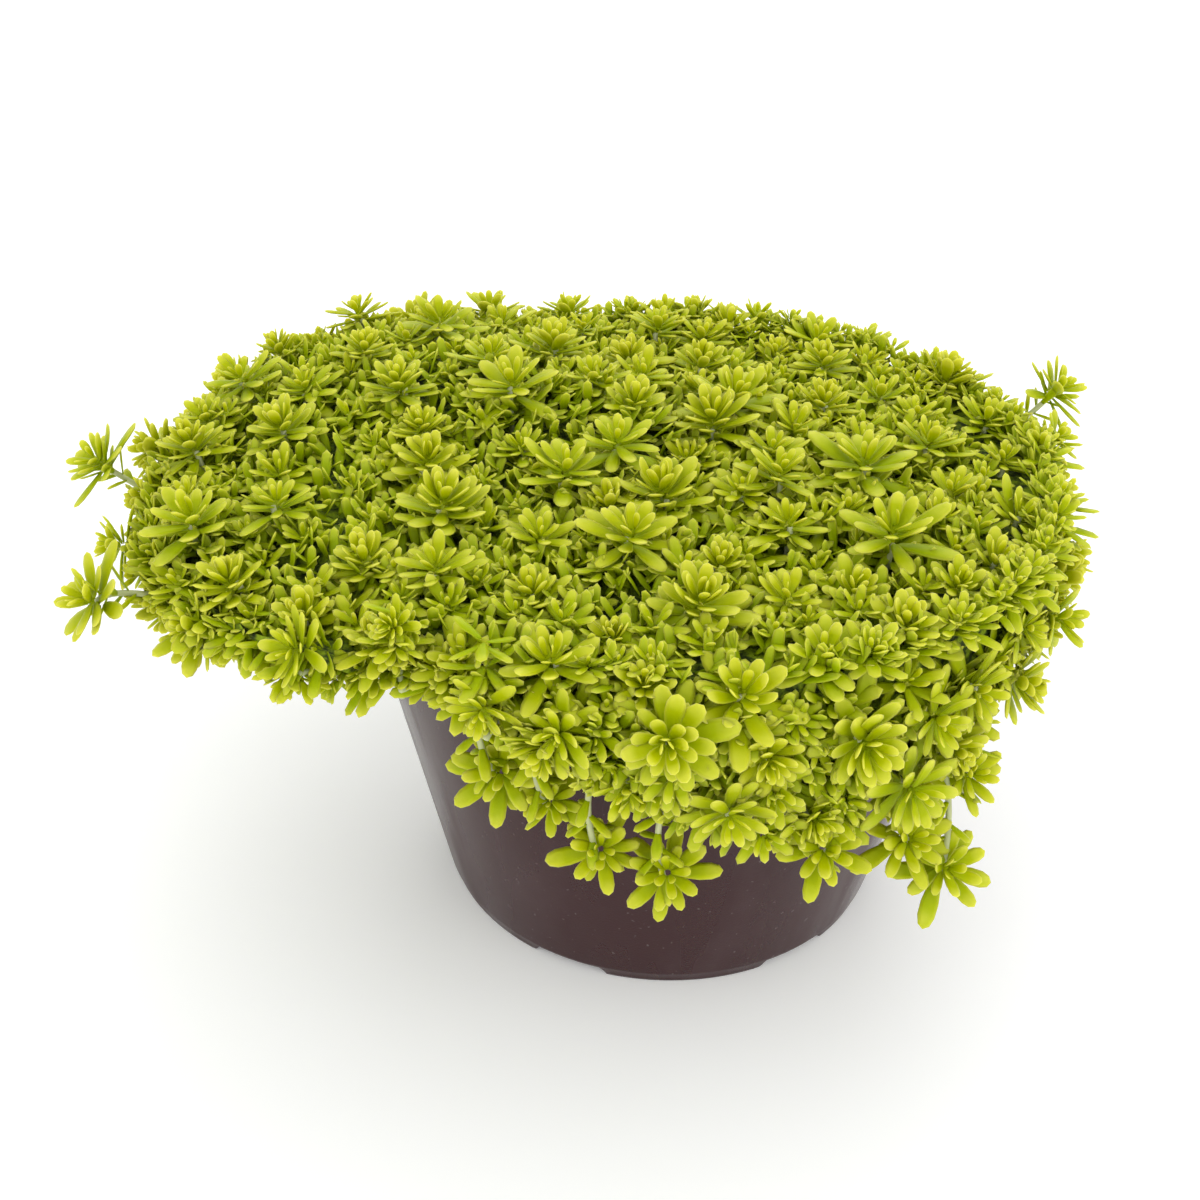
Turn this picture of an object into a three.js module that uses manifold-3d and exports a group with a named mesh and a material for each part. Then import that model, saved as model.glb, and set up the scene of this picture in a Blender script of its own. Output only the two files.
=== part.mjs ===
import * as THREE from "three";
import Module from "manifold-3d";

const wasm = await Module();
wasm.setup();

// Driving dimensions in millimetres. The standing plane is z = 0 and the pot's axis is x = y = 0.
const RIM_RADIUS = 95;
const POT_HEIGHT = 126;
const BASE_RADIUS = 64.6;
const LIP_HEIGHT = 8;
const LIP_WIDTH = 2.2;
const WALL = 1.4;
const FLOOR_UNDERSIDE = 3;
const FLOOR_THICKNESS = 1.6;
const PAD_RADIUS = 14;
const FOOT_COUNT = 6;
const FOOT_TURN = 3.6;
const NOTCH_HALF_WIDTH = 11.5;
const NOTCH_HEIGHT = 2.6;
const DRAIN_RADIUS = 4.5;
const DRAIN_CIRCLE = 50;
const POT_SIDES = 32;
const SEAT_GAP = 0.3;
const SOIL_TOP = 113;
const SOIL_WAVE = 1.3;
const ROOT_RADIUS = 1.5;
const ROOT_DEPTH = 11;
const SECTORS = 8;
const ROWS = 7;
const CROWN_ROWS = 2;
const SPACING = 22.3;
const BRIM_AT = 0.8;
const CORE_DEPTH = 8;
const CORE_RIPPLE = 1.7;
const CROWN_EXTRA = 4;
const CORE_FLOOR = 117;
const CURTAIN_RADIUS = 96.3;
const NODE_GAP = 0.5;
const SEAM_MARGIN = 5.5;
const DIP = 2.5;
const STEM_MARGIN = 1.7;
const LARGE_ROSETTE = 14.6;
const SMALL_ROSETTE = 12.2;
const TIP_LEAN = 0.4;

const deg = (angle) => (angle * Math.PI) / 180;
const add = (a, b, k = 1) => [a[0] + k * b[0], a[1] + k * b[1], a[2] + k * b[2]];
const minus = (a, b) => add(a, b, -1);
const dot = (a, b) => a[0] * b[0] + a[1] * b[1] + a[2] * b[2];
const size = (a) => Math.hypot(a[0], a[1], a[2]);
const unit = (a) => a.map((v) => v / size(a));
const cross = (a, b) => [
  a[1] * b[2] - a[2] * b[1],
  a[2] * b[0] - a[0] * b[2],
  a[0] * b[1] - a[1] * b[0],
];
const polar = (r, t, z) => [r * Math.cos(t), r * Math.sin(t), z];

// One seeded sequence of numbers from 0 to 1, so that every build gives the same plant.
let seed = 90210;
function chance() {
  seed = (Math.imul(1664525, seed) + 1013904223) >>> 0;
  return seed / 4294967296;
}

function solid(points, faces) {
  const mesh = new wasm.Mesh({
    numProp: 3,
    vertProperties: new Float32Array(points.flat()),
    triVerts: new Uint32Array(faces.flat()),
  });
  return new wasm.Manifold(mesh);
}

// Part of a turn: sections of (r, z) points at each angle, an underside going out and a top coming back.
function sector(sections, angles) {
  const n = sections[0].length;
  const points = [];
  const faces = [];
  sections.forEach((loop, k) => loop.forEach(([r, z]) => points.push(polar(r, angles[k], z))));
  const last = (sections.length - 1) * n;
  for (let a = 0; a < last; a += n) {
    for (let i = 0; i < n; i += 1) {
      const j = (i + 1) % n;
      faces.push([a + i, a + n + i, a + n + j], [a + i, a + n + j, a + j]);
    }
  }
  const flat = (loop) => loop.map(([r, z]) => new THREE.Vector2(r, z));
  const cap = (loop) => THREE.ShapeUtils.triangulateShape(flat(loop), []);
  cap(sections[0]).forEach(([i, j, k]) => faces.push([i, j, k]));
  cap(sections[sections.length - 1]).forEach(([i, j, k]) => faces.push([last + k, last + j, last + i]));
  return solid(points, faces);
}

// A turned solid from an open profile that starts and ends on the axis.
function turned(profile, sides, lift = () => 0) {
  const points = [];
  const faces = [];
  const rings = profile.slice(1, -1);
  points.push([0, 0, profile[0][1]], [0, 0, profile[profile.length - 1][1]]);
  for (const [r, z] of rings) {
    for (let k = 0; k < sides; k += 1) {
      const t = (2 * Math.PI * (k + 0.5)) / sides;
      points.push(polar(r, t, z + lift(r, t, z)));
    }
  }
  for (let k = 0; k < sides; k += 1) {
    const next = (k + 1) % sides;
    faces.push([0, 2 + next, 2 + k]);
    for (let i = 0; i < rings.length - 1; i += 1) {
      const a = 2 + i * sides;
      const b = a + sides;
      faces.push([a + k, a + next, b + next], [a + k, b + next, b + k]);
    }
    const top = 2 + (rings.length - 1) * sides;
    faces.push([1, top + k, top + next]);
  }
  return solid(points, faces);
}

// An upright prism at a distance from the pot's axis.
function prism(r, t, z0, z1, radius, sides) {
  const points = [];
  const faces = [];
  for (const z of [z0, z1]) {
    for (let k = 0; k < sides; k += 1) {
      const turn = (2 * Math.PI * k) / sides;
      points.push(add(polar(r, t, z), polar(radius, t + turn, 0)));
    }
  }
  for (let k = 0; k < sides; k += 1) {
    const next = (k + 1) % sides;
    faces.push([k, next, sides + next], [k, sides + next, sides + k]);
  }
  for (let k = 1; k < sides - 1; k += 1) {
    faces.push([0, k + 1, k], [sides, sides + k, sides + k + 1]);
  }
  return solid(points, faces);
}

// Pot: thin moulded wall with a turned-out lip, a raised floor, a centre pad and six feet.
function wallRadius(z) {
  const top = RIM_RADIUS - LIP_WIDTH;
  return BASE_RADIUS + ((top - BASE_RADIUS) * z) / POT_HEIGHT;
}

function pot() {
  const floorTop = FLOOR_UNDERSIDE + FLOOR_THICKNESS;
  const lipFoot = POT_HEIGHT - LIP_HEIGHT;
  const body = turned(
    [
      [0, 0],
      [PAD_RADIUS, 0],
      [PAD_RADIUS, FLOOR_UNDERSIDE],
      [BASE_RADIUS - 2.2, FLOOR_UNDERSIDE],
      [BASE_RADIUS - 2.2, 0],
      [BASE_RADIUS - 0.6, 0],
      [wallRadius(0.8), 0.8],
      [wallRadius(lipFoot), lipFoot],
      [RIM_RADIUS, lipFoot + 0.8],
      [RIM_RADIUS, POT_HEIGHT - 0.7],
      [RIM_RADIUS - 0.8, POT_HEIGHT],
      [wallRadius(POT_HEIGHT) - WALL, POT_HEIGHT],
      [wallRadius(floorTop + 2) - WALL, floorTop + 2],
      [wallRadius(floorTop) - WALL - 2, floorTop],
      [0, floorTop],
    ],
    POT_SIDES,
  );
  const cuts = [];
  for (let k = 0; k < FOOT_COUNT; k += 1) {
    const t = deg(-90 + FOOT_TURN + (360 / FOOT_COUNT) * (k + 0.5));
    cuts.push(notch(t));
    cuts.push(prism(DRAIN_CIRCLE, t, 1, floorTop + 2, DRAIN_RADIUS, 8));
  }
  return cuts.reduce((made, cut) => made.subtract(cut), body);
}

function notch(t) {
  const points = [];
  const across = NOTCH_HALF_WIDTH;
  for (const [z, half] of [[-1, across + 0.8], [NOTCH_HEIGHT, across - 2]]) {
    for (const [r, side] of [[56, -1], [72, -1], [72, 1], [56, 1]]) {
      points.push(add(polar(r, t, z), polar(side * half, t + Math.PI / 2, 0)));
    }
  }
  const faces = [[0, 2, 1], [0, 3, 2], [4, 5, 6], [4, 6, 7]];
  for (let k = 0; k < 4; k += 1) {
    const next = (k + 1) % 4;
    faces.push([k, next, 4 + next], [k, 4 + next, 4 + k]);
  }
  return solid(points, faces);
}

// Envelope of the cushion: its reach, crown height, brim height and hem height by azimuth.
function bump(t, centre, width) {
  const turn = t - deg(centre);
  const d = Math.atan2(Math.sin(turn), Math.cos(turn));
  return Math.exp(-((d / deg(width)) ** 2));
}
const reach = (t) =>
  119 - 23 * Math.cos(t) + 7 * Math.cos(2 * t) - 4 * Math.sin(t) - 17 * bump(t, -127, 25) +
  6 * bump(t, 30, 16) - 4 * bump(t, -3, 16) + 5 * bump(t, 142, 20);
const crownHeight = (t) => 139 + 8 * bump(t, 145, 35);
const brimHeight = (t) => 114 + 7 * bump(t, 142, 45) + 4 * bump(t, 45, 25) + 5 * bump(t, 0, 28);
const hemHeight = (t) =>
  104 + 8 * bump(t, -135, 36) + 4 * bump(t, -124, 16) + 10 * bump(t, -18, 26) - 24 * bump(t, -74, 30);

function envelope(t, s) {
  const far = reach(t);
  if (s < BRIM_AT) {
    const x = s / BRIM_AT;
    const a = ((0.7 * x + 0.3 * x ** 3) * Math.PI) / 2;
    const rise = crownHeight(t) - brimHeight(t);
    return [far * Math.sin(a), brimHeight(t) + rise * Math.cos(a) ** 0.6];
  }
  const v = (s - BRIM_AT) / (1 - BRIM_AT);
  const tuck = Math.min(14, Math.max(0, far - 107));
  return [far - tuck * v ** 1.6, brimHeight(t) + (hemHeight(t) - brimHeight(t)) * v];
}

function outward(t, s) {
  const [r0, z0] = envelope(t, Math.max(s - 0.01, 0));
  const [r1, z1] = envelope(t, Math.min(s + 0.01, 1));
  const length = Math.hypot(r1 - r0, z1 - z0);
  return [(z0 - z1) / length, (r1 - r0) / length];
}

// Core of a clump: the packed stems under the leaves, kept well inside the envelope.
const crownEdge = (t) => Math.min(envelope(t, CROWN_ROWS / ROWS)[0], 70);
function coreTop(t, s) {
  const [r, z] = envelope(t, s);
  const [nr, nz] = outward(t, s);
  const calm = Math.min(1, Math.max(0, (0.78 - s) / 0.2));
  const ripple = CORE_RIPPLE * calm * (1 + Math.sin(12 * t + 22.4 * (s - 0.42)));
  const depth = CORE_DEPTH + ripple + CROWN_EXTRA * Math.max(0, 1 - s / 0.62);
  return [r - nr * depth, z - nz * depth];
}

function coreSection(t) {
  const from = crownEdge(t) + 0.6;
  const over = POT_HEIGHT + 0.9;
  const top = [0.97, 0.84, 0.7, 0.56, 0.42].map((s) => {
    const [r, z] = coreTop(t, s);
    const least = s > 0.6 ? CURTAIN_RADIUS + 3.4 - 3 * Math.max(s - 0.7, 0) : 0;
    const overRim = s < 0.8 && (s > 0.5 || r > 70);
    const rest = over + Math.min(2.5, 13 * (0.75 - s)) - 0.15 * Math.max(0, r - RIM_RADIUS - 9);
    return [Math.max(r, least), overRim ? Math.max(z, rest) : z];
  });
  const [hemR, hemZ] = top[0];
  const inside = wallRadius(POT_HEIGHT) - WALL;
  const bottom = [
    [from, CORE_FLOOR],
    [inside - 5, CORE_FLOOR],
    [inside - 1.2, over],
    [CURTAIN_RADIUS, over],
    [Math.max(hemR - 6, CURTAIN_RADIUS - 0.2), hemZ - 1.5],
  ];
  return [...bottom, ...top, [from, coreTop(t, CROWN_ROWS / ROWS)[1] + 1]];
}

// The point on the middle line of the core's section that is nearest to a point of the envelope: the stem
// of a rosette ends there, clear of the pot's rim.
function footIn(t, s) {
  const [coreR, coreZ] = coreTop(t, s);
  if (coreR < 76) {
    return polar(coreR, t, coreZ - 5);
  }
  const at = envelope(t, s);
  const section = coreSection(t);
  const blend = (a, b, part) => [0, 1].map((i) => a[i] + part * (b[i] - a[i]));
  const line = [[1, 9], [2, 8], [3, 7], [3, 6]].map(([i, j]) => blend(section[i], section[j], 0.5));
  const hem = [0, 1].map((i) => (section[4][i] + section[5][i] + section[6][i]) / 3);
  line.push(blend(hem, section[3], 0.1));
  let best = line[0];
  const farther = (p) => Math.hypot(p[0] - at[0], p[1] - at[1]);
  for (let i = 0; i < line.length - 1; i += 1) {
    for (let part = 0; part <= 1; part += 0.1) {
      const p = blend(line[i], line[i + 1], part);
      best = farther(p) < farther(best) ? p : best;
    }
  }
  return polar(best[0], t, best[1]);
}

// Rosette sites: rows from the crown to the hem, each row split evenly within its sector.
const sites = [];
const stemPoints = [];
function addSite(node, at, normal, foot, scale, leaves, stem = null) {
  const lean = [TIP_LEAN * (chance() - 0.5), TIP_LEAN * (chance() - 0.5), 0];
  const axis = unit(add(add(normal, lean), [0, 0, 1], 0.08 + 0.14 * Math.max(normal[2], 0)));
  sites.push({ node, at, normal, axis, foot, scale, leaves, stem, spin: 2 * Math.PI * chance() });
}

function addRows(node, firstRow, lastRow, from, width) {
  for (let row = firstRow; row <= lastRow; row += 1) {
    const s = (row + 0.5) / ROWS;
    const arc = envelope(from + width / 2, s)[0] * width;
    const count = Math.max(1, Math.round(arc / SPACING));
    for (let i = 0; i < count; i += 1) {
      const shift = (row % 2 ? 0.14 : -0.14) + 0.4 * (chance() - 0.5);
      const middle = from + (width * (i + 0.5 + shift)) / count;
      const margin = SEAM_MARGIN / envelope(middle, s)[0];
      const t = Math.min(Math.max(middle, from + margin), from + width - margin);
      const along = Math.min(0.985, s + 0.06 * (chance() - 0.5));
      const [r, z] = envelope(t, along);
      const [nr, nz] = outward(t, along);
      const large = (row + i) % 2 === 0;
      const lift = (large ? -0.5 : -3.5) + 3 * (chance() - 0.5);
      const scale = (large ? LARGE_ROSETTE : SMALL_ROSETTE) * (0.9 + 0.2 * chance());
      const least = along > BRIM_AT - 0.06 ? CURTAIN_RADIUS + 5.5 : 0;
      const far = Math.max(r + nr * lift, least);
      const high = z + nz * lift;
      const at = polar(far, t, far < CURTAIN_RADIUS + 3 ? Math.max(high, POT_HEIGHT + 4.5) : high);
      addSite(node, at, polar(nr, t, nz), footIn(t, along), scale, 5);
    }
  }
}

const CLUMPS = ["right", "back_right", "back", "back_left", "left", "front_left", "front", "front_right"];
const sectorFrom = (k) => ((k - 0.5) * 2 * Math.PI) / SECTORS;

addRows("clump_crown", 0, CROWN_ROWS - 1, 0, 2 * Math.PI);
CLUMPS.forEach((place, k) => {
  addRows(`clump_${place}`, CROWN_ROWS, ROWS - 1, sectorFrom(k), (2 * Math.PI) / SECTORS);
});

// Loose shoots that stand clear of the cushion: a stem from the brim to a rosette at the given point.
function looseShoot(place, at, scale) {
  const t = Math.atan2(at[1], at[0]);
  const start = footIn(t, at[2] < brimHeight(t) - 14 ? 0.93 : 0.8);
  const normal = unit([at[0], at[1], 30]);
  addSite(`clump_${place}`, at, normal, add(at, normal, -3), scale, 6, start);
  const owner = sites[sites.length - 1];
  for (const part of [0.2, 0.45, 0.7]) {
    stemPoints.push({ owner, at: bend(start, add(at, owner.axis, 1), part) });
  }
}
looseShoot("left", [-157, 4, 128], 12);
looseShoot("left", [-149, -50, 118], 12.5);
looseShoot("right", [112, 39, 133], 11.5);
looseShoot("right", [107, 17, 129], 10.5);
looseShoot("front_right", [68, -81, 82], 12);
looseShoot("front_right", [64, -88, 58], 12);
looseShoot("front_right", [53, -90, 69], 11.5);
looseShoot("front", [31, -99, 74], 13);
looseShoot("front", [-6, -101, 68], 12.5);
looseShoot("front", [-22, -97, 72], 10);
looseShoot("front", [-34, -93, 84], 9.5);
looseShoot("front_left", [-46, -88, 89], 13);

// Room for a leaf point: its reach is cut at the mid-plane to every other site, at the loose stems, at
// the pot's wall and, for a leaf that dips, at the seam to the next clump.
function room(site, base, point) {
  const way = minus(point, base);
  let part = 1;
  const keep = (other, share, margin) => {
    const between = minus(other, site.at);
    const apart = size(between);
    const n = unit(between);
    const goes = dot(way, n);
    if (apart < 40 && goes > 0) {
      part = Math.min(part, (apart * share - margin - dot(base, n)) / goes);
    }
  };
  sites.filter((other) => other !== site).forEach((other) => keep(other.at, 0.5, NODE_GAP / 2));
  stemPoints.filter(({ owner }) => owner !== site).forEach(({ at }) => keep(at, 1, STEM_MARGIN));
  const k = CLUMPS.indexOf(site.node.replace("clump_", ""));
  if (k >= 0 && dot(point, site.normal) < -DIP) {
    for (const side of [0, 1]) {
      const n = polar(side ? 1 : -1, sectorFrom(k + side) + Math.PI / 2, 0);
      const goes = Math.max(dot(way, n), 1e-6);
      part = Math.min(part, (-dot(site.at, n) - NODE_GAP - dot(base, n)) / goes);
    }
  }
  let tip = add(site.at, add(base, way, part));
  while (part > 0.2 && tip[2] < POT_HEIGHT + 2 && Math.hypot(tip[0], tip[1]) < wallClear(tip[2])) {
    part -= 0.05;
    tip = add(site.at, add(base, way, part));
  }
  return Math.max(part, 0.2);
}
const wallClear = (z) => (z > POT_HEIGHT - LIP_HEIGHT - 3 ? RIM_RADIUS : wallRadius(z)) + 1.5;

// A rosette with its stem: two whorls of blunt, fleshy leaves over a stem that tapers into the core.
function rosette(site) {
  const { axis, at, scale, leaves: n, spin } = site;
  const e1 = unit(cross(axis, Math.abs(axis[2]) < 0.9 ? [0, 0, 1] : [1, 0, 0]));
  const e2 = cross(axis, e1);
  const local = (r, t, h) => axis.map((v, i) => r * (Math.cos(t) * e1[i] + Math.sin(t) * e2[i]) + h * v);
  const points = [];
  const faces = [];
  const put = (p) => points.push(add(at, p)) - 1;
  const step = (2 * Math.PI) / n;
  const low = [];
  const high = [];
  for (let i = 0; i < n; i += 1) {
    low.push(put(local(0.2 * scale, spin + step * i, 0)));
  }
  for (let i = 0; i < n; i += 1) {
    high.push(put(local(0.13 * scale, spin + step * (i + 0.5), 0.17 * scale)));
  }
  const top = put(local(0, 0, 0.36 * scale));
  const bottom = points.push(site.foot) - 1;
  const leaf = (left, right, crest, t, r0, h0, length, tilt, half, pointed) => {
    const base = local(r0, t, h0);
    const out = (along, side, rise) => {
      const r = r0 + along * length * Math.cos(tilt) - rise * Math.sin(tilt);
      const h = h0 + along * length * Math.sin(tilt) + rise * Math.cos(tilt);
      return add(local(r, t, h), local(side * half, t + Math.PI / 2, 0));
    };
    const broad = pointed ? 0.66 : 1;
    const ends = [out(broad, -1, 0), out(broad, 1, 0), out(1, 0, 0.05 * scale)];
    const part = Math.min(...ends.map((end) => room(site, base, end)));
    const [a, b] = ends.slice(0, 2).map((end) => put(add(base, minus(end, base), part)));
    faces.push([crest, left, a], [crest, b, right], [left, right, b], [left, b, a]);
    if (pointed) {
      const tip = put(add(base, minus(ends[2], base), part));
      faces.push([crest, a, tip], [crest, tip, b], [a, b, tip]);
    } else {
      faces.push([crest, a, b]);
    }
  };
  for (let i = 0; i < n; i += 1) {
    const next = (i + 1) % n;
    const droop = deg(5 + 9 * chance());
    const stand = deg(38 + 10 * chance());
    const low0 = [low[i], low[next], high[i]];
    const high0 = [high[i], high[next], top];
    const turn = spin + step * (i + 0.5);
    leaf(...low0, turn, 0.14 * scale, 0, 0.92 * scale, droop, 0.235 * scale, true);
    leaf(...high0, turn + step / 2, 0.1 * scale, 0.17 * scale, 0.62 * scale, stand, 0.17 * scale, false);
    faces.push([low[i], bottom, low[next]], [high[i], low[next], high[next]]);
  }
  return solid(points, faces);
}

// A round stem along a bent path, four-sided.
function bend(start, end, part) {
  const sag = 14 * part * (1 - part);
  return add(add(start, minus(end, start), part), [0.8 * Math.sign(end[0]), 0, 0.6], sag);
}

function bentStem(start, end, radius) {
  const out = unit([end[0], end[1], 0]);
  const path = [start, bend(start, end, 0.5), end];
  const points = [];
  const faces = [];
  const side = unit(cross(minus(end, start), cross(out, [0, 0, 1])));
  path.forEach((p, k) => {
    const along = unit(minus(path[Math.min(k + 1, 2)], path[Math.max(k - 1, 0)]));
    const u = unit(cross(along, side));
    const v = cross(along, u);
    for (let i = 0; i < 4; i += 1) {
      const t = (Math.PI * i) / 2;
      points.push(add(add(p, u, radius * Math.cos(t)), v, radius * Math.sin(t)));
    }
  });
  for (let k = 0; k < 2; k += 1) {
    for (let i = 0; i < 4; i += 1) {
      const j = (i + 1) % 4;
      const a = k * 4;
      faces.push([a + i, a + j, a + 4 + j], [a + i, a + 4 + j, a + 4 + i]);
    }
  }
  faces.push([0, 2, 1], [0, 3, 2], [8, 9, 10], [8, 10, 11]);
  return solid(points, faces);
}

function core(k) {
  const inset = 0.006;
  const width = (2 * Math.PI) / SECTORS - 2 * inset;
  const angles = [0, 1, 2, 3].map((i) => sectorFrom(k) + inset + (width * i) / 3);
  return sector(angles.map(coreSection), angles);
}

function crownCore() {
  const sides = 3 * SECTORS;
  const points = [[0, 0, CORE_FLOOR], [0, 0, crownHeight(0) - CORE_DEPTH]];
  const faces = [];
  for (let k = 0; k < sides; k += 1) {
    const t = sectorFrom(0) + (2 * Math.PI * k) / sides;
    const edge = crownEdge(t) - 0.6;
    const rings = [[edge, CORE_FLOOR], [edge, coreTop(t, CROWN_ROWS / ROWS)[1]], coreTop(t, 0.1)];
    rings.forEach(([r, z]) => points.push(polar(r, t, z)));
  }
  for (let k = 0; k < sides; k += 1) {
    const a = 2 + 3 * k;
    const b = 2 + 3 * ((k + 1) % sides);
    faces.push([0, b, a], [a, b, b + 1], [a, b + 1, a + 1]);
    faces.push([a + 1, b + 1, b + 2], [a + 1, b + 2, a + 2], [a + 2, b + 2, 1]);
  }
  return solid(points, faces);
}

// Roots: short stems under each clump that stand in plain holes in the soil.
const roots = [];
for (let k = 0; k < 3; k += 1) {
  roots.push({ node: "clump_crown", r: 24, t: deg(120 * k + 20) });
}
CLUMPS.forEach((place, k) => {
  const t = sectorFrom(k) + Math.PI / SECTORS;
  roots.push({ node: `clump_${place}`, r: crownEdge(t) + 7, t });
});

function soil() {
  const low = FLOOR_UNDERSIDE + FLOOR_THICKNESS + SEAT_GAP;
  const inner = (z) => wallRadius(z) - WALL - SEAT_GAP;
  const wave = (r, t, z) => (z < SOIL_TOP - 5 ? 0 : SOIL_WAVE * Math.sin(3 * t + r / 17) * Math.cos(r / 11));
  const facet = Math.cos(Math.PI / POT_SIDES);
  const body = turned(
    [
      [0, low],
      [(inner(low) - 2) * facet, low],
      [inner(low + 2) * facet, low + 2],
      [inner(SOIL_TOP - 2) * facet, SOIL_TOP - 2],
      [64, SOIL_TOP],
      [34, SOIL_TOP],
      [0, SOIL_TOP],
    ],
    24,
    wave,
  );
  const hole = ({ r, t }) => prism(r, t, SOIL_TOP - ROOT_DEPTH, SOIL_TOP + 6, ROOT_RADIUS + SEAT_GAP, 6);
  return roots.reduce((made, root) => made.subtract(hole(root)), body);
}

function clump(name, body) {
  let made = body;
  for (const site of sites.filter(({ node }) => node === name)) {
    made = made.add(rosette(site));
    if (site.stem) {
      made = made.add(bentStem(site.stem, add(site.at, site.axis, 1), 1.2));
    }
  }
  for (const { r, t } of roots.filter(({ node }) => node === name)) {
    made = made.add(prism(r, t, SOIL_TOP - ROOT_DEPTH + SEAT_GAP, CORE_FLOOR + 4, ROOT_RADIUS, 6));
  }
  return made;
}

// Assembly.
const group = new THREE.Group();
group.name = "potted_spanish_stonecrop";

function piece(name, made, color, roughness) {
  const { numProp, vertProperties, triVerts } = made.getMesh();
  const geometry = new THREE.BufferGeometry();
  const positions = new Float32Array((vertProperties.length / numProp) * 3);
  for (let i = 0; i < positions.length / 3; i += 1) {
    positions.set(vertProperties.subarray(i * numProp, i * numProp + 3), i * 3);
  }
  geometry.setAttribute("position", new THREE.BufferAttribute(positions, 3));
  geometry.setIndex(new THREE.BufferAttribute(new Uint32Array(triVerts), 1));
  geometry.computeVertexNormals();
  const mesh = new THREE.Mesh(geometry, new THREE.MeshStandardMaterial({ color, roughness }));
  mesh.name = name;
  group.add(mesh);
}

piece("pot", pot(), 0x4a393b, 0.45);
piece("soil", soil(), 0x2a1f1a, 0.95);
piece("clump_crown", clump("clump_crown", crownCore()), 0xa9c41c, 0.5);
CLUMPS.forEach((place, k) => {
  piece(`clump_${place}`, clump(`clump_${place}`, core(k)), 0xa9c41c, 0.5);
});

export default group;
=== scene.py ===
import bpy
import numpy as np
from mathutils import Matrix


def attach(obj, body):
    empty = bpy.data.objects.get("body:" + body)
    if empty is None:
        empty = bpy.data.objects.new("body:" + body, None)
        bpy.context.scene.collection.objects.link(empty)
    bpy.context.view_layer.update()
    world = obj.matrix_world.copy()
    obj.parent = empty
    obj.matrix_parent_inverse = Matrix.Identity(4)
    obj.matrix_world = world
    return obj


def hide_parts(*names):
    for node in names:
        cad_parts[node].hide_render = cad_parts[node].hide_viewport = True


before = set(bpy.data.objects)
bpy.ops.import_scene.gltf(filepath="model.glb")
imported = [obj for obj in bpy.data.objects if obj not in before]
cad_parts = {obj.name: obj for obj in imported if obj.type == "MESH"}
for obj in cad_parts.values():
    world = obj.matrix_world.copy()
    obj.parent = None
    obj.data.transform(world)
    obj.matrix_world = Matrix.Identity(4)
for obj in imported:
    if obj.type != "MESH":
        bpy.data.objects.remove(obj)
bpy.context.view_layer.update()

# View: a camera 0.55 m from the pot, in front and looking down at it, under soft studio light.
# Metres, in the frame of the solids; the pot stands on the floor at the origin.
CAMERA_PLACE = (-0.03686, -0.42234, 0.35674)
CAMERA_DOWN = 32.6
CAMERA_LENS = 52.5
CAMERA_SENSOR = 36
CAMERA_SHIFT = 0.05
LAMPS = {
    "key": ((-0.9, -1.2, 1.1), 1.1, 3.2),
    "fill": ((1.2, -1.0, 0.9), 1.4, 6.0),
    "back": ((0.2, 1.3, 1.1), 1.0, 6.0),
}
LAMP_TARGET = (0, 0, 0.1)


def towards(place, target):
    """The turn that points an object's -Z axis from one place to another, upright."""
    gap = np.subtract(target, place)
    down = np.arctan2(np.hypot(gap[0], gap[1]), -gap[2])
    return (down, 0, np.arctan2(-gap[0], gap[1]))


scene = bpy.context.scene
scene.view_settings.view_transform = "Standard"
camera = bpy.data.objects.new("camera", bpy.data.cameras.new("camera"))
camera.location = CAMERA_PLACE
camera.rotation_euler = (np.radians(90 - CAMERA_DOWN), 0, 0)
camera.data.lens = CAMERA_LENS
camera.data.sensor_width = CAMERA_SENSOR
camera.data.shift_x = CAMERA_SHIFT
scene.collection.objects.link(camera)
scene.camera = camera
for name, (place, width, watts) in LAMPS.items():
    lamp = bpy.data.objects.new(name, bpy.data.lights.new(name, "AREA"))
    lamp.data.shape = "DISK"
    lamp.data.size = width
    lamp.data.energy = watts
    lamp.location = place
    lamp.rotation_euler = towards(place, LAMP_TARGET)
    scene.collection.objects.link(lamp)


# Materials are made of nodes that this small function adds, joined to each other by their sockets.
def add(tree, kind, sockets, **traits):
    """Adds a node: sets its traits, then gives each named socket a number, a colour or a link."""
    node = tree.nodes.new(kind)
    for name, value in traits.items():
        setattr(node, name, value)
    for name, value in sockets.items():
        if isinstance(value, bpy.types.NodeSocket):
            tree.links.new(value, node.inputs[name])
        else:
            node.inputs[name].default_value = value
    return node


def mix(tree, share, first, second):
    """The socket of a colour between two others: the first where the share is 0, the second where 1."""
    return add(tree, "ShaderNodeMix", {0: share, 6: first, 7: second}, data_type="RGBA").outputs[2]


def stretch(tree, value, low, high, start, end):
    """The socket of a number that runs from start to end, and no further, as the value runs low to high."""
    return add(tree, "ShaderNodeMapRange", {0: value, 1: low, 2: high, 3: start, 4: end}).outputs[0]


def tint(code):
    """A colour given as sRGB hex, turned to linear: v/12.92 when dark, else ((v+0.055)/1.055)^2.4."""
    channels = np.array([int(code[i:i + 2], 16) for i in (1, 3, 5)]) / 255
    linear = np.where(channels <= 0.04045, channels / 12.92, ((channels + 0.055) / 1.055) ** 2.4)
    return (*linear, 1)


def new_material(name):
    """An empty node tree with its output: returns the material and the tree."""
    material = bpy.data.materials.new(name)
    material.use_nodes = True
    material.node_tree.nodes.clear()
    return material, material.node_tree


def finish_material(tree, shader):
    """Joins a shader node to the material's output."""
    add(tree, "ShaderNodeOutputMaterial", {"Surface": shader.outputs[0]})


def world_light():
    """Pale, even light from all round, as in a studio tent."""
    world = bpy.data.worlds.new("studio")
    world.use_nodes = True
    world.node_tree.nodes.clear()
    sky = add(world.node_tree, "ShaderNodeBackground", {"Color": tint("#f4f5f4"), "Strength": 1.1})
    add(world.node_tree, "ShaderNodeOutputWorld", {"Surface": sky.outputs[0]})
    scene.world = world


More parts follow.
